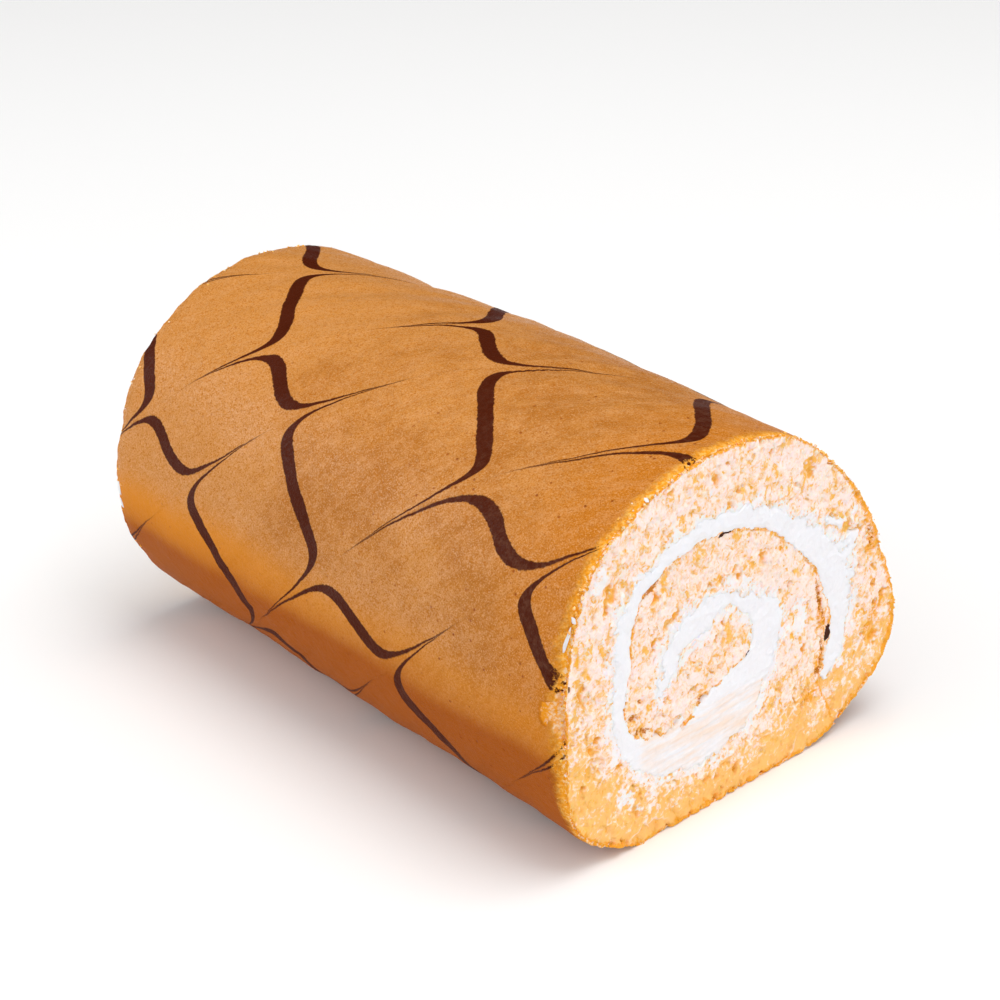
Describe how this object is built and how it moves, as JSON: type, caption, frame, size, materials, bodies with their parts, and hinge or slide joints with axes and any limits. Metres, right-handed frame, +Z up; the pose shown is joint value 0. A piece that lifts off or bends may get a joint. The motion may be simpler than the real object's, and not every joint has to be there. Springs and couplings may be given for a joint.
{
  "type": "swiss roll",
  "caption": "Rolled sponge cake with a spiral of white cream at both cut ends and a smooth caramel skin marked with a feathered chocolate pattern.",
  "frame": {"origin": "middle of the underside, on the surface that the roll rests on", "axes": "+X along the roll, out of the front cut face; +Y across it, towards the side that sags; +Z up"},
  "size_m": [0.1502, 0.1078, 0.0869],
  "materials": {
    "sponge": "matt baked skin with a soft sheen, paler open crumb on the cut ends",
    "cream": "smooth whipped cream, satin"
  },
  "bodies": {
    "root": {"sponge": "sponge", "cream": "cream"}
  },
  "joints": []
}
